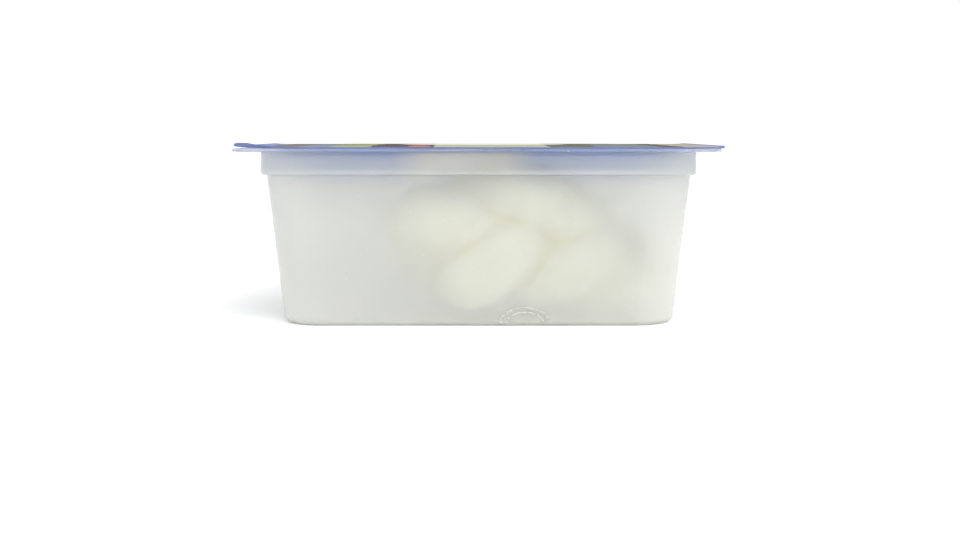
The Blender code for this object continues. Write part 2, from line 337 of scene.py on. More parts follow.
# %% The tub's section
FOOT_CORNER = 17.0 * MM
FOOT_FILLET = 3.0 * MM
FOOT_RING = 8.0 * MM
PANEL_RISE = 1.2 * MM
PANEL_SLOPE = 1.2 * MM
PANEL_CORNER = 8.5 * MM
LEDGE_CORNER = 16.0 * MM
LEDGE_ROUND = 1.4 * MM
COLLAR_CORNER = 15.5 * MM
FLANGE_CORNER = 14.0 * MM
FLANGE_THICK = 1.1 * MM
FLANGE_ROUND = 0.8 * MM
EDGE_ROUND = 0.25 * MM
FLANGE_UNDER = FLANGE_TOP - FLANGE_THICK
PANEL_HALF = FOOT_HALF - FOOT_FILLET - FOOT_RING
FOOT_TURN = body_half(FOOT_FILLET) - FOOT_FILLET


def outside_sections():
    """From the base panel up to the flange's upper edge."""
    sections = [(PANEL_HALF - PANEL_SLOPE, PANEL_CORNER, PANEL_RISE), (PANEL_HALF, PANEL_CORNER, 0.0)]
    sections += arc_sections(FOOT_CORNER, FOOT_TURN, FOOT_FILLET, FOOT_FILLET, -90.0, 0.0, 6)
    sections.append((body_half(LEDGE_Z), LEDGE_CORNER, LEDGE_Z))
    sections += arc_sections(COLLAR_CORNER, COLLAR_HALF - LEDGE_ROUND, LEDGE_Z + LEDGE_ROUND,
                             LEDGE_ROUND, -90.0, 0.0, 5)
    sections += arc_sections(COLLAR_CORNER, COLLAR_HALF - COLLAR_LEAN + FLANGE_ROUND,
                             FLANGE_UNDER - FLANGE_ROUND, FLANGE_ROUND, 180.0, 90.0, 4)
    for half, z in ((FLANGE_HALF_X - EDGE_ROUND, FLANGE_UNDER), (FLANGE_HALF_X, FLANGE_UNDER + EDGE_ROUND),
                    (FLANGE_HALF_X, FLANGE_TOP - EDGE_ROUND), (FLANGE_HALF_X - EDGE_ROUND, FLANGE_TOP)):
        sections.append((half, FLANGE_CORNER, z, FLANGE_SHIFT))
    return sections


def inside_sections():
    """From the mouth down to the floor."""
    mouth = COLLAR_HALF - COLLAR_LEAN - WALL
    shelf = LEDGE_Z + WALL
    turn = LEDGE_ROUND - WALL
    sections = arc_sections(COLLAR_CORNER - WALL, mouth + FLANGE_ROUND, FLANGE_TOP - FLANGE_ROUND,
                            FLANGE_ROUND, 90.0, 180.0, 4)
    sections += arc_sections(COLLAR_CORNER - WALL, COLLAR_HALF - LEDGE_ROUND, shelf + turn, turn,
                             0.0, -90.0, 4)
    sections.append((body_half(shelf) - WALL, LEDGE_CORNER - WALL, shelf))
    sections += arc_sections(FOOT_CORNER - WALL, FOOT_TURN, FOOT_FILLET, FOOT_FILLET - WALL,
                             0.0, -90.0, 5)
    sections += [(PANEL_HALF, PANEL_CORNER, WALL),
                 (PANEL_HALF - PANEL_SLOPE, PANEL_CORNER, PANEL_RISE + WALL)]
    return sections


# %% Loft the tub
tub = loft("frosted_tub", outside_sections() + inside_sections())
shade(tub)
print(f"tub: {len(tub.data.polygons)} faces")

# %% [markdown]
# ## The brine
# The tub is filled with salted whey to about 3 mm below its rim. The liquid is a body of its own
# that reaches just into the wall, so that no air shows between. It overlaps the braid, which is
# simpler than cutting the braid out of it and looks the same. Its section is a loft as the tub's is.

# %% Loft the brine
BRINE_INSET = WALL - 0.2 * MM
BRINE_TOP = 66.0 * MM


def brine_sections():
    """From the floor up to the level, just inside the wall's inner face."""
    shelf = LEDGE_Z + BRINE_INSET
    sections = arc_sections(FOOT_CORNER - BRINE_INSET, FOOT_TURN, FOOT_FILLET,
                            FOOT_FILLET - BRINE_INSET, -90.0, 0.0, 5)
    sections.append((body_half(shelf) - BRINE_INSET, LEDGE_CORNER - BRINE_INSET, shelf))
    for half, z in ((COLLAR_HALF, shelf), (collar_half(BRINE_TOP), BRINE_TOP)):
        sections.append((half - BRINE_INSET, COLLAR_CORNER - BRINE_INSET, z))
    return sections


brine = loft("brine", brine_sections())
shade(brine)
print(f"brine up to {BRINE_TOP / MM:.1f} mm")

# %% [markdown]
# ## The braid
# A braid is made by hand from three ropes of hot curd. Each rope's middle weaves from side to side
# and in and out, a third of a turn apart, and the soft ropes flatten where they press together.
# The plait is laid in a horseshoe: its near half stands on edge against the front wall, and its far
# half lies down. The same few numbers as the solid's give each rope's path. Three curves with a
# round section are turned to mesh, joined with a core, and melted into one skin by a voxel remesh,
# which rounds the valleys as real curd does. Nothing else could blend crossing ropes so simply.

# %% The ropes' paths
BRAID_CENTRE = Vector((4.0, 3.0, 35.5)) * MM
BRAID_REACH_X = 45.0 * MM
BRAID_REACH_Y = 40.0 * MM
BRAID_START = math.radians(-40.0)
BRAID_END = math.radians(150.0)
BRAID_SINK = 14.0 * MM
BRAID_LEAN = math.radians(60.0)
LEAN_FROM, LEAN_TO = 0.33, 0.65
NEAR_DROOP, DROOP_REACH = 5.5 * MM, 0.25
STRAND_RADIUS = 14.0 * MM
STRAND_ACROSS, STRAND_THROUGH = 15.0 * MM, 7.5 * MM
CROSSINGS = 4.1
PLAIT_START = math.radians(85.0)
END_PINCH, PINCH_REACH = 0.5, 0.14
END_SIZES = (0.96, 0.7, 0.42)
UNEVEN = ((0.05, 9.0, 2.1), (0.03, 23.0, 4.0))
SMALL_STEP = 0.005


def ease(share):
    """A smooth step from 0 to 1."""
    share = min(1.0, max(0.0, share))
    return share * share * (3.0 - 2.0 * share)


def end_fade(share):
    """0 at both ends of the braid, 1 further in."""
    return ease(min(share, 1.0 - share) / PINCH_REACH)


def lying_down(share):
    """0 where the braid stands on edge, 1 where it lies down."""
    return ease((share - LEAN_FROM) / (LEAN_TO - LEAN_FROM))


def braid_middle(share):
    """The braid's centre at a share of its length."""
    turn = BRAID_START + (BRAID_END - BRAID_START) * share
    drop = BRAID_SINK * lying_down(share) + NEAR_DROOP * (1.0 - ease(share / DROOP_REACH))
    return BRAID_CENTRE + Vector((BRAID_REACH_X * math.sin(turn), -BRAID_REACH_Y * math.cos(turn), -drop))


def strand_point(share, strand):
    """A point on the middle of one rope."""
    along = (braid_middle(share + SMALL_STEP) - braid_middle(share - SMALL_STEP)).normalized()
    outward = along.cross(Vector((0.0, 0.0, 1.0))).normalized()
    upward = outward.cross(along).normalized()
    lean = BRAID_LEAN * lying_down(share)
    across = upward * math.cos(lean) - outward * math.sin(lean)
    through = outward * math.cos(lean) + upward * math.sin(lean)
    phase = PLAIT_START + 2.0 * math.pi * (CROSSINGS * share / 3.0 + strand / 3.0)
    width = END_PINCH + (1.0 - END_PINCH) * end_fade(share)
    return (braid_middle(share) + across * (STRAND_ACROSS * width * math.sin(phase))
            - through * (STRAND_THROUGH * width * math.sin(2.0 * phase)))


def strand_radius(share, strand):
    """Hand-pulled ropes are thicker and thinner along their length, and slimmer at the ends."""
    uneven = sum(height * math.sin(rate * share + step * strand) for height, rate, step in UNEVEN)
    full = END_SIZES[strand] + (1.0 - END_SIZES[strand]) * end_fade(share)
    return STRAND_RADIUS * (1.0 + uneven) * full


ROPE_STEPS = 90
rope_shares = [step / ROPE_STEPS for step in range(ROPE_STEPS + 1)]
rope_lengths = []
for strand in range(3):
    middles = [strand_point(share, strand) for share in rope_shares]
    rope_lengths.append(sum((b - a).length for a, b in zip(middles, middles[1:])))
print("rope lengths in mm:", [round(length / MM) for length in rope_lengths])

# %% [markdown]
# A curve carries a radius at each of its points, so one round bevel gives a rope that swells and
# thins. Each end gets a few more points whose radius falls off like a ball, so that it closes round.

# %% Model the ropes
CAP_STEPS = (18.0, 36.0, 54.0, 72.0, 88.0)
CORE_RADIUS = 8.0 * MM
CORE_INSET = 0.04
ROPE_ROUNDNESS = 10


def add_rope(name, places, radii):
    """A rope with round ends, as a mesh, along a list of points."""
    first_way = (places[0] - places[1]).normalized()
    last_way = (places[-1] - places[-2]).normalized()
    head, tail = [], []
    for degrees in CAP_STEPS:
        slope = math.radians(degrees)
        head.append((places[0] + first_way * radii[0] * math.sin(slope), radii[0] * math.cos(slope)))
        tail.append((places[-1] + last_way * radii[-1] * math.sin(slope), radii[-1] * math.cos(slope)))
    stations = head[::-1] + list(zip(places, radii)) + tail
    bpy.ops.curve.primitive_nurbs_path_add(location=(0.0, 0.0, 0.0))
    rope = bpy.context.object
    rope.name = name
    rope.data.splines.clear()
    line = rope.data.splines.new("POLY")
    line.points.add(len(stations) - 1)
    for point, (place, radius) in zip(line.points, stations):
        point.co = (*place, 1.0)
        point.radius = radius / STRAND_RADIUS
    rope.data.bevel_depth = STRAND_RADIUS
    rope.data.bevel_resolution = ROPE_ROUNDNESS
    rope.data.use_fill_caps = True
    selected_only(rope)
    bpy.ops.object.convert(target="MESH")
    return bpy.context.object


ropes = [add_rope(f"rope_{strand}", [strand_point(share, strand) for share in rope_shares],
                  [strand_radius(share, strand) for share in rope_shares]) for strand in range(3)]
core_shares = [CORE_INSET + (1.0 - 2.0 * CORE_INSET) * share for share in rope_shares]
ropes.append(add_rope("core", [braid_middle(share) for share in core_shares],
                      [CORE_RADIUS for share in core_shares]))
cheese = join_all(ropes)
cheese.name = "plaited_cheese"
print(f"ropes and core: {len(cheese.data.vertices)} points")

# %% [markdown]
# The remesh wraps all of it in one even skin. Smoothing widens the valleys between the ropes, and
# a slow unevenness from a noise pattern gives the hand-made look. Last, each point that would go
# through the tub's wall or floor is pressed back inside, flat, as soft cheese is.

# %% Melt the ropes into one skin
SKIN_CELL = 0.95 * MM
LUMP_SIZE = 14.0 * MM
LUMP_HEIGHT = 0.7 * MM
DIMPLE_SIZE = 4.5 * MM
DIMPLE_HEIGHT = 0.16 * MM
DIMPLE_SHIFT = Vector((7.0, 3.0, 5.0))
WALL_CLEARANCE = 0.8 * MM
FLOOR_CLEARANCE = 0.5 * MM
PRESS_SHARE = 0.06
HEADROOM = 2.2 * MM


def apply_modifier(piece, kind, **settings):
    """Add one modifier with its settings and apply it."""
    selected_only(piece)
    modifier = piece.modifiers.new(kind.lower(), kind)
    for name, value in settings.items():
        setattr(modifier, name, value)
    bpy.ops.object.modifier_apply(modifier=modifier.name)


def pressed(value, low, high):
    """A value that is pressed back almost wholly where it lies outside low to high."""
    nearest = min(max(value, low), high)
    return nearest + PRESS_SHARE * (value - nearest)


def keep_in_tub(place):
    """Press a point flat where it would pass the tub's wall, floor or the film."""
    z = pressed(place.z, PANEL_RISE + WALL + FLOOR_CLEARANCE, FLANGE_TOP - HEADROOM)
    half_long = body_half(min(z, LEDGE_Z)) - WALL - WALL_CLEARANCE
    half_short = half_long - SHORTER
    return Vector((pressed(place.x, -half_long, half_long), pressed(place.y, -half_short, half_short), z))


apply_modifier(cheese, "REMESH", mode="VOXEL", voxel_size=SKIN_CELL)
apply_modifier(cheese, "SMOOTH", factor=0.5, iterations=4)
outward_at = [vert.normal.copy() for vert in cheese.data.vertices]
for vert, outward in zip(cheese.data.vertices, outward_at):
    lump = noise.noise(vert.co / LUMP_SIZE) * LUMP_HEIGHT
    dimple = noise.noise(vert.co / DIMPLE_SIZE + DIMPLE_SHIFT) * DIMPLE_HEIGHT
    vert.co = keep_in_tub(vert.co + outward * (lump + dimple))
shade(cheese, 60.0)
print(f"cheese skin: {len(cheese.data.polygons)} faces")

# %% [markdown]
# The fibres of pulled curd run along each rope, and the valleys between ropes look warmer, because
# light bounces about in them. Both follow the ropes, so each point of the skin is told which rope
# is nearest, how far along it lies, and how near the second rope is. The finish reads that. At
# the ends the ropes melt into one another, so the valleys fade out there.

# %% Grain and valleys on the skin
CREASE_WIDTH = 2.6 * MM
END_WITHOUT_CREASE, END_CREASE = 26.0 * MM, 0.15
TABLE_STEPS = 400
BLOCK = 4000
FIBRE_ALONG, FIBRE_OUTWARD, FIBRE_PER_ROPE = 0.12, 2.0, 0.05
FIBRE_DRIFT = np.array([0.3, 0.5, 0.8])


def rope_table():
    """All ropes' middle points, with which rope and how far along, as arrays."""
    places, numbers, reached = [], [], []
    for strand in range(3):
        for share in (step / TABLE_STEPS for step in range(TABLE_STEPS + 1)):
            places.append(strand_point(share, strand))
            numbers.append(strand)
            reached.append(share * rope_lengths[strand])
    return np.array(places), np.array(numbers), np.array(reached)


places, numbers, reached = rope_table()
skin_points = np.empty(len(cheese.data.vertices) * 3)
cheese.data.vertices.foreach_get("co", skin_points)
skin_points = skin_points.reshape(-1, 3)
gaps = np.empty((len(skin_points), 3))
along_rope = np.empty((len(skin_points), 3))
for strand in range(3):
    rope_points = places[numbers == strand]
    rope_reach = reached[numbers == strand]
    for start in range(0, len(skin_points), BLOCK):
        block = skin_points[start:start + BLOCK]
        apart = np.linalg.norm(block[:, None, :] - rope_points[None, :, :], axis=2)
        gaps[start:start + BLOCK, strand] = apart.min(axis=1)
        along_rope[start:start + BLOCK, strand] = rope_reach[apart.argmin(axis=1)]
nearest = gaps.argmin(axis=1)
in_order = np.sort(gaps, axis=1)
valley = np.clip(1.0 - (in_order[:, 1] - in_order[:, 0]) / CREASE_WIDTH, 0.0, 1.0)
own_reach = along_rope[np.arange(len(nearest)), nearest]
from_end = np.minimum(own_reach, max(rope_lengths) - own_reach)
valley *= np.clip(from_end / END_WITHOUT_CREASE, END_CREASE, 1.0)
grain = cheese.data.attributes.new("grain", "FLOAT_VECTOR", "POINT")
line_up = np.column_stack((own_reach * FIBRE_ALONG,
                           gaps.min(axis=1) * FIBRE_OUTWARD + nearest * FIBRE_PER_ROPE,
                           skin_points @ FIBRE_DRIFT))
grain.data.foreach_set("vector", line_up.ravel().astype(np.float32))
crease = cheese.data.attributes.new("crease", "FLOAT", "POINT")
crease.data.foreach_set("value", valley.astype(np.float32))
print(f"valleys on {100 * float((valley > 0.3).mean()):.0f} % of the skin")

# %% [markdown]
# ## The lid film
# The lid is a printed film, heat-sealed on the flange. It was cut a little larger than the flange,
# so its short ends curl off it, and the front left corner has been lifted for peeling. A flat sheet
# with round corners is cut into small cells by bisecting, and then parts of it are pulled up with
# proportional editing, which is how paper curls: most at the edge, and less and less further in.

# %% Cut the sheet into cells
FILM_LONG = film_high.x - film_low.x
FILM_SHORT = film_high.y - film_low.y
FILM_SHIFT = (film_high.x + film_low.x) / 2
FILM_CELL = 4.4 * MM
FILM_THICK = 0.55 * MM            # with the sealing lacquer that ties it to the flange
SEAL_GAP = 0.1 * MM
TRIM = 0.1 * MM                   # the curled ends stay inside the solid's box
film = add_rounded_plane(FILM_LONG / 2 - TRIM, FILM_SHORT / 2 - TRIM, FLANGE_CORNER,
                         (FILM_SHIFT, 0.0, FLANGE_TOP + SEAL_GAP))
for length, direction, middle in ((FILM_LONG, (1.0, 0.0, 0.0), FILM_SHIFT),
                                  (FILM_SHORT, (0.0, 1.0, 0.0), 0.0)):
    cells = round(length / FILM_CELL)
    for cut in range(1, cells):
        offset = middle - length / 2 + length * cut / cells
        bpy.ops.mesh.select_all(action="SELECT")
        bpy.ops.mesh.bisect(plane_co=[offset * part for part in direction], plane_no=direction)
leave_edit()
film.name = "printed_film"
print(f"film: {len(film.data.polygons)} cells")

# %% Pull up its ends, its corner and its middle
END_CURL, END_REACH = 0.4 * MM, 9.0 * MM
TAB_CURL, TAB_REACH = 1.6 * MM, 17.0 * MM
SWELL, SWELL_REACH = 0.4 * MM, 22.0 * MM
SWELL_HALF_X, SWELL_HALF_Y = 58.0 * MM, 34.0 * MM
END_STRIP, TAB_STRIP = 0.3 * MM, 0.8 * MM
film_left = FILM_SHIFT - FILM_LONG / 2 + TRIM
film_right = FILM_SHIFT + FILM_LONG / 2 - TRIM
straight_end = FILM_SHORT / 2 - FLANGE_CORNER
corner_tip = (film_left - FILM_SHORT / 2) + FLANGE_CORNER * (2.0 - math.sqrt(2.0))


def pull_up(piece, wanted, height, reach, falloff="SHARP"):
    """Lift the vertices that pass a test, and drag their neighbours within reach along."""
    bpy.ops.object.mode_set(mode="EDIT")
    select_vertices(piece, wanted)
    bpy.ops.transform.translate(value=(0.0, 0.0, height), use_proportional_edit=True,
                                proportional_edit_falloff=falloff, proportional_size=reach)
    leave_edit()


selected_only(film)
pull_up(film, lambda vert: abs(vert.co.x - FILM_SHIFT) < SWELL_HALF_X and abs(vert.co.y) < SWELL_HALF_Y,
        SWELL, SWELL_REACH, "SMOOTH")
for end in (film_left, film_right):
    pull_up(film, lambda vert, at=end: abs(vert.co.x - at) < END_STRIP and abs(vert.co.y) < straight_end,
            END_CURL, END_REACH)
pull_up(film, lambda vert: vert.co.x + vert.co.y < corner_tip + TAB_STRIP, TAB_CURL, TAB_REACH)
apply_modifier(film, "SOLIDIFY", thickness=FILM_THICK, offset=1.0)
shade(film)
film_top = max(vert.co.z for vert in film.data.vertices)
print(f"film top at {film_top / MM:.1f} mm, box up to {film_high.z / MM:.1f} mm")

# %% [markdown]
# ## Water drops in the headspace
# Above the liquid the collar's inner wall is wet, with flat drops that catch the light as pale
# specks. One drop is a ball with its back cut flat. Each copy gets its own size and lies on one of
# the four inner faces of the collar. A few sit where the photograph shows them, some of them just
# below the level as bubbles do, and the rest lie by chance.

# %% Model one drop and copy it
DROP_SEED = 41
DROPS_BY_CHANCE = 64
DROP_SMALL, DROP_LARGE = 0.25, 0.75
DROP_LOW, DROP_HIGH = 66.5, 68.3
DROP_LIFT = 0.1 * MM
DROP_DOME = 0.55
PLACED_DROPS = ((424.0, 158.0, 1.1), (646.0, 155.0, 0.6), (652.0, 155.5, 0.5), (659.0, 155.0, 0.6),
                (560.0, 157.0, 0.5), (330.0, 160.0, 0.6), (602.0, 168.0, 0.5))
drop_rng = random.Random(DROP_SEED)
bpy.ops.mesh.primitive_uv_sphere_add(segments=14, ring_count=8, radius=1.0, location=(0.0, 0.0, 0.0))
pattern_drop = bpy.context.object
edit_all()
bpy.ops.mesh.bisect(plane_co=(0.0, 0.0, -0.25), plane_no=(0.0, 0.0, 1.0), clear_inner=True, use_fill=True)
leave_edit()


def add_drop(place, inward, radius):
    """A copy of the drop, flat side on the wall and dome pointing inward."""
    copy = pattern_drop.copy()
    copy.data = pattern_drop.data.copy()
    bpy.context.scene.collection.objects.link(copy)
    copy.location = place
    copy.rotation_euler = inward.to_track_quat("Z", "Y").to_euler()
    stretch = drop_rng.uniform(0.85, 1.15)
    copy.scale = (radius * stretch, radius, radius * DROP_DOME)
    return copy


drops = []
for column, row, radius in PLACED_DROPS:
    place = photo_place(column, row, -(COLLAR_HALF - WALL - SHORTER))
    wall_y = -(collar_half(place.z) - WALL - SHORTER)
    place = Vector((place.x, wall_y + DROP_LIFT, place.z))
    drops.append(add_drop(place, Vector((0.0, 1.0, 0.0)), radius * MM))
for number in range(DROPS_BY_CHANCE):
    side = drop_rng.choice(("front", "back", "left", "right", "front", "back"))
    z = drop_rng.uniform(DROP_LOW, DROP_HIGH) * MM
    radius = drop_rng.uniform(DROP_SMALL, DROP_LARGE) * MM
    half = collar_half(z) - WALL
    if side in ("front", "back"):
        sign = -1.0 if side == "front" else 1.0
        x = drop_rng.uniform(-1.0, 1.0) * (half - COLLAR_CORNER)
        place, inward = Vector((x, sign * (half - SHORTER), z)), Vector((0.0, -sign, 0.0))
    else:
        sign = -1.0 if side == "left" else 1.0
        y = drop_rng.uniform(-1.0, 1.0) * (half - SHORTER - COLLAR_CORNER)
        place, inward = Vector((sign * half, y, z)), Vector((-sign, 0.0, 0.0))
    drops.append(add_drop(place + inward * DROP_LIFT, inward, radius))
condensation = join_all(drops)
bpy.ops.object.transform_apply(location=True, rotation=True, scale=True)
condensation.name = "water_drops"
bpy.data.objects.remove(pattern_drop, do_unlink=True)
shade(condensation, 50.0)
print(f"{len(drops)} drops")

# %% [markdown]
# ## The moulded arch
# Low on the front wall a plain arch is moulded in, right of the middle, with a smaller one inside
# it. Each is a thin ridge. A short bar is spun half a turn to make it, and then pressed into an
# ellipse and leant back to follow the wall, with half its depth sunk in the plastic.

# %% Spin two ridges
ARCH_X = 18.0 * MM
ARCH_FOOT = 1.6 * MM
ARCH_SHAPES = ((9.6, 5.6), (6.9, 3.9))
RIDGE = 0.42 * MM
RIDGE_DEPTH = 0.7
RIDGE_STEPS = 28


def add_ridge(half_width, height):
    """A ridge along half an ellipse on the front wall."""
    bpy.ops.mesh.primitive_plane_add(size=RIDGE * 2.0, location=(half_width, 0.0, 0.0))
    ridge = bpy.context.object
    bpy.ops.object.transform_apply(location=True, rotation=False, scale=False)
    edit_all()
    bpy.ops.transform.rotate(value=math.radians(45.0), orient_axis="Z",
                             center_override=(half_width, 0.0, 0.0))
    bpy.ops.mesh.spin(steps=RIDGE_STEPS, angle=math.radians(180.0), center=(0.0, 0.0, 0.0),
                      axis=(0.0, -1.0, 0.0))
    leave_edit()
    squeeze = height / half_width
    for vert in ridge.data.vertices:
        z = abs(vert.co.z) * squeeze + ARCH_FOOT
        wall = -(body_half(z) - SHORTER)
        vert.co = Vector((vert.co.x + ARCH_X, wall + vert.co.y * RIDGE_DEPTH, z))
    face_outwards(ridge)
    return ridge


arch = join_all([add_ridge(half_width * MM, height * MM) for half_width, height in ARCH_SHAPES])
arch.name = "moulded_arch"
shade(arch, 60.0)
print(f"arch: {len(arch.data.polygons)} faces")

# %% [markdown]
# ## Finishes
# Each finish is a small network on one Principled shader. The helpers keep the networks readable.
# They add a node and feed its inputs, each with a plain value or with another node's socket, and
# give noise and specks whose scale is told as the size of their features, in the object's own
# coordinates.

# %% Helpers for nodes


def new_finish(name):
    """A material with its tree, its Principled shader and its coordinates."""
    finish = bpy.data.materials.new(name)
    finish.use_nodes = True
    tree = finish.node_tree
    coordinates = tree.nodes.new("ShaderNodeTexCoord").outputs["Object"]
    return finish, tree, tree.nodes["Principled BSDF"], coordinates


def feed(tree, node, inputs):
    """Wire sockets into a node's inputs, or set plain values, each input by its name or number."""
    for name, value in inputs.items():
        if isinstance(value, bpy.types.NodeSocket):
            tree.links.new(value, node.inputs[name])
        else:
            node.inputs[name].default_value = value


def add_node(tree, kind, inputs, **settings):
    """One node with its settings and its inputs."""
    node = tree.nodes.new("ShaderNode" + kind)
    for name, value in settings.items():
        setattr(node, name, value)
    feed(tree, node, inputs)
    return node


def dress(piece, *finishes):
    """Give a piece its finishes."""
    piece.data.materials.clear()
    for finish in finishes:
        piece.data.materials.append(finish)


def srgb(red, green, blue):
    """A colour given as on a screen, 0 to 255."""
    return [((part / 255.0 + 0.055) / 1.055) ** 2.4 if part > 10 else part / 3294.6
            for part in (red, green, blue)] + [1.0]


# %% Helpers for values and places


def maths(tree, operation, first, second=0.5, third=0.5):
    """One Math node."""
    return add_node(tree, "Math", {0: first, 1: second, 2: third}, operation=operation).outputs[0]


def product(tree, first, second):
    """Two values multiplied."""
    return maths(tree, "MULTIPLY", first, second)


def larger(tree, first, second):
    """The larger of two values."""
    return maths(tree, "MAXIMUM", first, second)


def distance_to(tree, value, target):
    """How far a value is from another, to either side."""
    return maths(tree, "ABSOLUTE", maths(tree, "SUBTRACT", value, target))


def span(tree, value, low, high, to_low=0.0, to_high=1.0):
    """Map a value's range to another, clamped."""
    ends = {"From Min": low, "From Max": high, "To Min": to_low, "To Max": to_high}
    return add_node(tree, "MapRange", {"Value": value, **ends}, clamp=True).outputs["Result"]


def axes_of(tree, coordinates):
    """The x, y and z of a place."""
    return tuple(add_node(tree, "SeparateXYZ", {"Vector": coordinates}).outputs)


def blend_colours(tree, share, first, second):
    """A colour between two."""
    inputs = {"Factor": share, "A": first, "B": second}
    return add_node(tree, "Mix", inputs, data_type="RGBA").outputs["Result"]


# %% Helpers for patterns
EVEN = (1.0, 1.0, 1.0)
SPECK_CHANCE = 0.45
SPECK_SOFTNESS = 0.3


def scaled(tree, coordinates, size, stretch=EVEN):
    """Coordinates in which one unit is size metres, and longer along an axis by stretch."""
    scale = [1.0 / (size * part) for part in stretch]
    return add_node(tree, "Mapping", {"Vector": coordinates, "Scale": scale}).outputs["Vector"]


def noise_of(tree, coordinates, size, stretch=EVEN, detail=3.0, roughness=0.5):
    """Noise from 0 to 1 whose features are about size metres, longer along an axis by stretch."""
    inputs = {"Vector": scaled(tree, coordinates, size, stretch), "Scale": 1.0, "Detail": detail,
              "Roughness": roughness}
    return add_node(tree, "TexNoise", inputs).outputs["Fac"]


def specks_of(tree, coordinates, cell, largest):
    """1 inside scattered round specks of unequal size, 0 elsewhere. Many cells have none."""
    pattern = add_node(tree, "TexVoronoi", {"Vector": scaled(tree, coordinates, cell), "Scale": 1.0})
    chance = add_node(tree, "SeparateColor", {"Color": pattern.outputs["Color"]}).outputs["Red"]
    radius = span(tree, chance, SPECK_CHANCE, 1.0, 0.0, largest)
    inside = maths(tree, "SUBTRACT", radius, pattern.outputs["Distance"])
    return span(tree, inside, 0.0, largest * SPECK_SOFTNESS)


def bump_of(tree, height, distance, strength):
    """A normal for a surface that a height pattern raises."""
    inputs = {"Height": height, "Distance": distance, "Strength": strength}
    return add_node(tree, "Bump", inputs).outputs["Normal"]


def let_light_through(tree, shader, share, colour):
    """Let a share of the light pass, scattered and tinted, as paper or thin film does."""
    passed = add_node(tree, "BsdfTranslucent", {"Color": colour}).outputs["BSDF"]
    mix = add_node(tree, "MixShader", {"Fac": share, 1: shader.outputs["BSDF"], 2: passed})
    feed(tree, tree.nodes["Material Output"], {"Surface": mix.outputs["Shader"]})


# %% [markdown]
# ### Frosted plastic
# Unpigmented polypropylene is clear in itself. It looks milky because its skin is finely rough and
# its inside slightly hazy. So it is glass with a high roughness, and a share of it lets light
# straight through. Colours laid on as a picture would be wrong from behind, so the colour is worked
# out from the place on the tub, and light is painted into it. The film's blue light, which the
# plastic carries down into the collar, is painted as a blue glow there and in the flange, less at
# the collar's ends and not in front of the cheese. In front of the cheese the wall gets a painted
# warm glow, the cheese's light seen through it.

# %% The plastic's colour with its painted glow, from the foot to the flange
CLEAR_PLASTIC = (0.825, 0.84, 0.815, 1.0)
# Painted light: a warm glow from the cheese, and the film's blue glow in the collar and in the flange.
WARM_CHEESE_GLOW = (0.99, 0.965, 0.86, 1.0)
COLLAR_BLUE_GLOW = (0.43, 0.56, 0.96, 1.0)
FLANGE_BLUE_GLOW = (0.42, 0.52, 0.86, 1.0)
BLUE_START, BLUE_RISE = LEDGE_Z - 6.0 * MM, 1.3
CHEESE_TOP_X, CHEESE_TOP_NEAR, CHEESE_TOP_FAR = -5.0 * MM, 15.0 * MM, 28.0 * MM
CHEESE_TOP_LOW, CHEESE_TOP_HIGH = 66.8 * MM, 68.0 * MM
PALE_END_START, PALE_END_STOP, BLUE_AT_END = 56.0 * MM, 82.0 * MM, 0.45
plastic, tree, shader, place = new_finish("frosted_plastic")
x_place, _, z_place = axes_of(tree, place)
from_middle = maths(tree, "ABSOLUTE", x_place)
up_collar = span(tree, z_place, BLUE_START, FLANGE_UNDER)
uneven_blue_glow = span(tree, noise_of(tree, place, 15.0 * MM, (2.0, 2.0, 1.0), 4.0), 0.32, 0.68, 0.72, 1.2)
beside_cheese = span(tree, distance_to(tree, x_place, CHEESE_TOP_X), CHEESE_TOP_NEAR, CHEESE_TOP_FAR)
above_cheese = span(tree, z_place, CHEESE_TOP_LOW, CHEESE_TOP_HIGH)
off_cheese = larger(tree, beside_cheese, above_cheese)
blue_glow_share = product(tree, maths(tree, "POWER", up_collar, BLUE_RISE), uneven_blue_glow)
for share in (off_cheese, span(tree, from_middle, PALE_END_START, PALE_END_STOP, 1.0, BLUE_AT_END)):
    blue_glow_share = product(tree, blue_glow_share, share)
in_collar = span(tree, z_place, LEDGE_Z, LEDGE_Z + 4.0 * MM)
cheese_glow_share = maths(tree, "SUBTRACT", in_collar, off_cheese)
in_flange = span(tree, z_place, FLANGE_UNDER - 0.05 * MM, FLANGE_UNDER)
# Painted light over the plastic's own colour: the cheese's warm glow, then the film's blue glow in the
# collar and in the flange.
tint = blend_colours(tree, span(tree, cheese_glow_share, 0.0, 1.0), CLEAR_PLASTIC, WARM_CHEESE_GLOW)
tint = blend_colours(tree, blue_glow_share, tint, COLLAR_BLUE_GLOW)
tint = blend_colours(tree, in_flange, tint, FLANGE_BLUE_GLOW)
print("tint of the plastic, blue from", round(BLUE_START / MM, 1), "mm up")

# %% [markdown]
# Where the wall is scratched, less light goes through and it looks paler, in scattered specks. Along
# the ledge the wall is thicker and paler, and a painted highlight line lies on it as well. Two painted
# highlight lines rise from the foot towards the ends, where the rounded corners begin. Both ends are
# softly paler with painted light from the sides, the warm part of the collar is paler with the
# cheese's painted glow, and the foot is softly paler too. One value gathers all of these. It drives
# the colour and how much of the light passes.

# %% Pale ledge with its painted highlight, painted corner highlights and glow, specks, paler foot
PALE_PLASTIC = (0.98, 0.985, 0.97, 1.0)
SPECK_CELL, SPECK_SIZE = 4.2 * MM, 0.13
LINE_SOFT, LINE_CORE, LINE_SHARE = 1.1 * MM, 0.4 * MM, 0.36
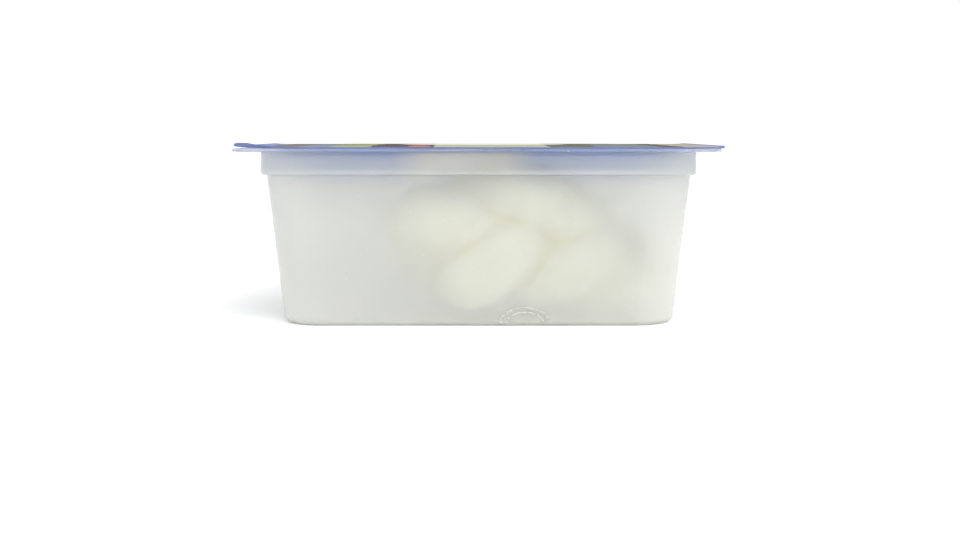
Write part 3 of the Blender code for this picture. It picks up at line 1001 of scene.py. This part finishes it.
# Two painted highlight lines that rise from the foot towards both ends.
CORNER_HIGHLIGHT_START, CORNER_HIGHLIGHT_END, CORNER_HIGHLIGHT_LOW, CORNER_HIGHLIGHT_SLOPE = 53.0 * MM, 72.0 * MM, 4.5 * MM, 0.5
CORNER_HIGHLIGHT_SOFT, CORNER_HIGHLIGHT_CORE, CORNER_HIGHLIGHT_SHARE = 1.1 * MM, 0.3 * MM, 0.4
# The ends' paleness is painted light from the sides, and the collar's is the cheese's painted glow; the
# foot is just paler.
CHEESE_GLOW_PALENESS, END_GLOW, FOOT_PALENESS = 0.22, 0.3, 0.2
PASSES_CLEAR, PASSES_PALE = 0.9, 0.4
# The ledge is thicker plastic and paler, and a painted highlight line lies along it.
from_ledge = distance_to(tree, z_place, LEDGE_Z + LEDGE_ROUND)
ledge_line = span(tree, from_ledge, LINE_SOFT, LINE_CORE, 0.0, LINE_SHARE)
# The painted highlight lines at the lower corners.
along_corner_highlight = maths(tree, "SUBTRACT", from_middle, CORNER_HIGHLIGHT_START)
from_corner_highlight = distance_to(tree, z_place, maths(tree, "MULTIPLY_ADD", along_corner_highlight, CORNER_HIGHLIGHT_SLOPE, CORNER_HIGHLIGHT_LOW))
corner_highlight = span(tree, from_corner_highlight, CORNER_HIGHLIGHT_SOFT, CORNER_HIGHLIGHT_CORE, 0.0, CORNER_HIGHLIGHT_SHARE)
for start, stop in ((CORNER_HIGHLIGHT_START, CORNER_HIGHLIGHT_START + 5.0 * MM), (CORNER_HIGHLIGHT_END, CORNER_HIGHLIGHT_END - 3.0 * MM)):
    corner_highlight = product(tree, corner_highlight, span(tree, from_middle, start, stop))
cheese_glow_paleness = product(tree, cheese_glow_share, CHEESE_GLOW_PALENESS)
end_glow = span(tree, from_middle, 58.0 * MM, 76.0 * MM, 0.0, END_GLOW)
paler_foot = span(tree, z_place, 22.0 * MM, 3.0 * MM, 0.0, FOOT_PALENESS)
# One value gathers real specks, the thicker ledge, and the painted highlights and glow.
pale = specks_of(tree, place, SPECK_CELL, SPECK_SIZE)
for share in (ledge_line, corner_highlight, cheese_glow_paleness, maths(tree, "ADD", end_glow, paler_foot)):
    pale = larger(tree, pale, share)
feed(tree, shader, {"Base Color": blend_colours(tree, pale, tint, PALE_PLASTIC),
                    "Transmission Weight": span(tree, pale, 0.0, 1.0, PASSES_CLEAR, PASSES_PALE)})
print("pale places of the plastic")

# %% [markdown]
# The skin is cloudy in soft upright streaks, from the stretching of the warm sheet. The roughness
# stays above 0.28, because Blender's denoiser takes smoother glass for a mirror and leaves what
# lies behind it ragged.

# %% Grain of the plastic
PLASTIC_IOR, PLASTIC_ALPHA = 1.35, 0.55
ROUGH_LOW, ROUGH_HIGH = 0.29, 0.37
streaks = noise_of(tree, place, 5.0 * MM, (1.0, 1.0, 6.0), 4.0)
blotches = noise_of(tree, place, 16.0 * MM, (1.0, 1.0, 1.6))
cloudy = maths(tree, "MULTIPLY_ADD", streaks, 0.5, product(tree, blotches, 0.5))
grain_height = noise_of(tree, place, 0.9 * MM, (1.0, 1.0, 1.5), 2.0)
height = maths(tree, "MULTIPLY_ADD", grain_height, 0.25, streaks)
feed(tree, shader, {"IOR": PLASTIC_IOR, "Alpha": PLASTIC_ALPHA,
                    "Roughness": span(tree, cloudy, 0.3, 0.7, ROUGH_LOW, ROUGH_HIGH),
                    "Normal": bump_of(tree, height, 0.12 * MM, 0.6)})
dress(tub, plastic)
print("frosted plastic on the tub")

# %% [markdown]
# ### Embossed plastic
# A moulded ridge is rough from the mould and thicker than the wall, so it looks paler. It passes
# less light than the wall does, unevenly, in crumbs of about 2 mm. A bright colour alone would make
# it stand out as if painted.

# %% Embossed plastic
embossed, tree, shader, place = new_finish("embossed_plastic")
crumbs = noise_of(tree, place, 2.2 * MM)
feed(tree, shader, {"Base Color": (0.89, 0.9, 0.88, 1.0), "Transmission Weight": 0.7,
                    "IOR": PLASTIC_IOR, "Alpha": span(tree, crumbs, 0.35, 0.65, 0.4, 0.72),
                    "Roughness": span(tree, crumbs, 0.3, 0.7, 0.4, 0.55),
                    "Normal": bump_of(tree, crumbs, 0.3 * MM, 0.5)})
dress(arch, embossed)
print("embossed plastic on the arch")

# %% [markdown]
# ### Brine
# Clear liquid would let the far side show through, but real brine is cloudy with fine curd. A
# scattering volume does what the curd does, and makes the liquid glow like thin milk. Its density
# is told per metre: at 15, light goes about 67 mm before it is turned. Volumes are lost in many
# file formats, so the body's skin has a little haze of its own, and its upper face has less.

# %% Cloudy brine
SKIN_HAZE = 0.42
LEVEL_HAZE = 0.12
HAZE_VARIES = 0.05
CURD_COLOUR, CURD_DENSITY, CURD_FORWARD = (0.963, 0.968, 0.94, 1.0), 15.0, 0.3
WATER_IOR = 1.33
cloudy_brine, tree, shader, place = new_finish("brine")
_, _, z_place = axes_of(tree, place)
on_top = span(tree, z_place, BRINE_TOP - 0.02 * MM, BRINE_TOP - 0.01 * MM)
curd = noise_of(tree, place, 20.0 * MM, (1.0, 1.0, 1.4))
haze = span(tree, curd, 0.3, 0.7, SKIN_HAZE - HAZE_VARIES, SKIN_HAZE + HAZE_VARIES)
feed(tree, shader, {"Base Color": (0.93, 0.935, 0.87, 1.0), "IOR": WATER_IOR,
                    "Roughness": span(tree, on_top, 0.0, 1.0, 0.25, 0.06),
                    "Alpha": maths(tree, "MULTIPLY_ADD", on_top, LEVEL_HAZE - SKIN_HAZE, haze)})
volume = add_node(tree, "VolumeScatter", {"Color": CURD_COLOUR, "Density": CURD_DENSITY,
                                          "Anisotropy": CURD_FORWARD})
feed(tree, tree.nodes["Material Output"], {"Volume": volume.outputs["Volume"]})
dress(brine, cloudy_brine)
print("brine")

# %% [markdown]
# The drops are plain clear water, with a skin that is a little uneven.

# %% Clear water
clear_water, tree, shader, place = new_finish("water_drop")
skin = noise_of(tree, place, 1.0 * MM)
feed(tree, shader, {"Base Color": (0.97, 0.98, 1.0, 1.0), "Transmission Weight": 1.0, "IOR": WATER_IOR,
                    "Roughness": span(tree, skin, 0.3, 0.7, 0.02, 0.12)})
dress(condensation, clear_water)
print("drops")

# %% [markdown]
# ### Cheese
# Fresh mozzarella is a warm white with a damp sheen. Pulling leaves fine fibres along each rope,
# and the valleys look tan. The grain attribute lines the fibres up, and the crease attribute lays a
# painted tan into the valleys, their shade warmed by light that bounces in them, more in some
# stretches than in others, as in real curd.

# %% Pulled curd
SKIN_LIGHT, SKIN_DARK = srgb(221, 221, 203), srgb(216, 215, 193)
# The valleys' colour is painted shade, warmed by bounced light.
FIBRE_COLOUR, PAINTED_CREASE_SHADE = srgb(213, 211, 186), srgb(204, 182, 76)
curd_finish, tree, shader, place = new_finish("cheese")
along_fibres = add_node(tree, "Attribute", {}, attribute_name="grain").outputs["Vector"]
creases = add_node(tree, "Attribute", {}, attribute_name="crease").outputs["Fac"]
fibres = noise_of(tree, along_fibres, 0.9 * MM, EVEN, 4.0, 0.6)
patches = noise_of(tree, place, 9.0 * MM)
stretches = noise_of(tree, place, 13.0 * MM, EVEN, 2.0)
crease_shade_share = product(tree, creases, span(tree, stretches, 0.38, 0.62, 0.2, 1.0))
skin = blend_colours(tree, span(tree, patches, 0.3, 0.7), SKIN_LIGHT, SKIN_DARK)
skin = blend_colours(tree, span(tree, fibres, 0.35, 0.75, 0.0, 0.35), skin, FIBRE_COLOUR)
skin = blend_colours(tree, crease_shade_share, skin, PAINTED_CREASE_SHADE)
feed(tree, shader, {"Base Color": skin, "Roughness": span(tree, fibres, 0.3, 0.7, 0.38, 0.55),
                    "Normal": bump_of(tree, fibres, 0.25 * MM, 0.5)})
dress(cheese, curd_finish)
print("cheese")

# %% [markdown]
# ### Printed film
# From the front only a sliver of the print shows, as a row of colours. The print here is of our own
# making: a blue border, upright fields of colour with uneven edges, an empty oval plaque, and plain
# round and leaf shapes. It is drawn by a ramp with hard steps and by ellipses, in the film's own
# coordinates. Each field is told by where it starts, in millimetres from the middle, and its
# colour: light blue, browns, slates, straws and olives. Seen at a low angle a glossy print would
# wash out, so its gloss is kept low.

# %% Fields of colour
FIELDS = ((-94.0, (132, 148, 196)), (-85.0, (120, 112, 102)), (-70.0, (132, 140, 152)),
          (-56.0, (160, 164, 116)), (-41.5, (84, 66, 66)), (-19.0, (178, 182, 146)),
          (26.0, (98, 96, 62)), (45.0, (120, 124, 126)), (69.0, (78, 72, 72)),
          (78.5, (176, 168, 146)), (91.0, (142, 160, 200)))
FIELD_SWAY = 9.0 * MM
print_finish, tree, shader, place = new_finish("film_print")
x_place, y_place, _ = axes_of(tree, place)
sway = maths(tree, "MULTIPLY_ADD", noise_of(tree, place, 22.0 * MM), FIELD_SWAY, -FIELD_SWAY / 2)
across_film = span(tree, maths(tree, "ADD", x_place, sway), -FILM_LONG / 2, FILM_LONG / 2)
ramp = add_node(tree, "ValToRGB", {"Fac": across_film})
ramp.color_ramp.interpolation = "CONSTANT"
for number, (start, colour) in enumerate(FIELDS):
    position = (start * MM + FILM_LONG / 2) / FILM_LONG if number else 0.0
    stop = ramp.color_ramp.elements[0] if number == 0 else ramp.color_ramp.elements.new(position)
    stop.color = srgb(*colour)
ramp.color_ramp.elements.remove(ramp.color_ramp.elements[-1])
ink = ramp.outputs["Color"]
print(len(FIELDS), "fields")

# %% [markdown]
# The shapes lie over the fields. Each is an ellipse with its centre, its two radii in millimetres,
# its turn in degrees and its colour. The plaque is a pale ellipse over a slightly larger blue one.

# %% Round shapes, leaves, plaque and border
SPOTS = ((-23.0, -45.0, 4.4, 8.5, 0.0, (200, 112, 78)), (-27.0, 34.0, 10.0, 10.0, 0.0, (190, 70, 48)),
         (-12.0, 48.0, 7.0, 7.0, 0.0, (206, 92, 58)), (-55.0, 18.0, 15.0, 6.0, 35.0, (96, 124, 66)),
         (-52.0, -22.0, 14.0, 5.5, -25.0, (84, 112, 60)), (58.0, 36.0, 15.0, 6.0, 20.0, (90, 118, 62)),
         (62.0, -34.0, 13.0, 5.0, -35.0, (104, 130, 70)), (2.0, 0.0, 36.0, 21.0, 0.0, (96, 112, 176)),
         (2.0, 0.0, 34.0, 19.0, 0.0, (238, 236, 216)))
BORDER = 2.4 * MM
BORDER_BLUE = srgb(108, 124, 174)


def spot_mask(tree, x, y, spot):
    """1 inside a turned ellipse, 0 outside."""
    centre_x, centre_y, radius_x, radius_y, degrees = spot
    cos, sin = math.cos(math.radians(degrees)), math.sin(math.radians(degrees))
    dx = maths(tree, "SUBTRACT", x, centre_x * MM)
    dy = maths(tree, "SUBTRACT", y, centre_y * MM)
    along = maths(tree, "MULTIPLY_ADD", dx, cos, product(tree, dy, sin))
    aside = maths(tree, "MULTIPLY_ADD", dy, cos, product(tree, dx, -sin))
    first, second = (maths(tree, "POWER", maths(tree, "DIVIDE", reach, radius * MM), 2.0)
                     for reach, radius in ((along, radius_x), (aside, radius_y)))
    return span(tree, maths(tree, "ADD", first, second), 1.03, 0.97)


for *spot, colour in SPOTS:
    ink = blend_colours(tree, spot_mask(tree, x_place, y_place, spot), ink, srgb(*colour))
edge_x, edge_y = (maths(tree, "SUBTRACT", maths(tree, "ABSOLUTE", reach), size / 2 - BORDER)
                  for reach, size in ((x_place, FILM_LONG), (y_place, FILM_SHORT)))
border = span(tree, larger(tree, edge_x, edge_y), -0.1 * MM, 0.1 * MM)
ink = blend_colours(tree, border, ink, BORDER_BLUE)
print(len(SPOTS), "shapes and a border")

# %% [markdown]
# The film lets nearly a third of the light through, tinted by its ink, and that light makes the
# collar glow; the plastic's blue glow in the collar is also painted. Its underside is the pale blue
# of the ink seen through the film. Its cut edge is darker: partly its own blue seen edge-on, partly
# painted shade under the film's overhang. Each face of the film gets one of the three finishes by
# the direction that it faces.

# %% Sheen, underside and edge of the film
FILM_LETS_THROUGH = 0.3
UNDER_LIGHT, UNDER_DARK = srgb(140, 158, 206), srgb(128, 148, 200)
# The edge's darker blue is partly painted shade under the film's overhang.
EDGE_LIGHT, EDGE_DARK = srgb(94, 108, 158), srgb(80, 94, 144)
FLAT_NORMAL = 0.6
ripple = noise_of(tree, place, 12.0 * MM)
feed(tree, shader, {"Base Color": ink, "Specular IOR Level": 0.12,
                    "Roughness": span(tree, ripple, 0.3, 0.7, 0.5, 0.62),
                    "Normal": bump_of(tree, ripple, 0.3 * MM, 0.4)})
let_light_through(tree, shader, FILM_LETS_THROUGH, ink)
film_finishes = [print_finish]
for name, blotch, light, dark, smooth, rough in (
        ("film_underside", 8.0 * MM, UNDER_LIGHT, UNDER_DARK, 0.34, 0.48),
        ("film_edge", 6.0 * MM, EDGE_LIGHT, EDGE_DARK, 0.4, 0.5)):
    finish, tree, shader, place = new_finish(name)
    tone = noise_of(tree, place, blotch)
    tint = blend_colours(tree, span(tree, tone, 0.3, 0.7), light, dark)
    feed(tree, shader, {"Base Color": tint, "Roughness": span(tree, tone, 0.3, 0.7, smooth, rough)})
    if name == "film_underside":
        let_light_through(tree, shader, FILM_LETS_THROUGH, tint)
    film_finishes.append(finish)
dress(film, *film_finishes)
for face in film.data.polygons:
    face.material_index = 0 if face.normal.z > FLAT_NORMAL else 1 if face.normal.z < -FLAT_NORMAL else 2
print("film dressed in", len(film.data.materials), "finishes")

# %% [markdown]
# ## Hand over
# Every new piece rides on the one body, and the solid that it stands for is hidden. The brine, the
# drops and the arch stand for no solid, so they only ride.

# %% Ride and replace
for piece, node, slot in ((tub, "tub", "frosted_plastic"), (film, "lid_film", "film_blue"),
                          (cheese, "braid", "cheese"), (brine, None, "brine"),
                          (condensation, None, "brine"), (arch, None, "frosted_plastic")):
    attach(piece, "root")
    if node:
        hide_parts(node)
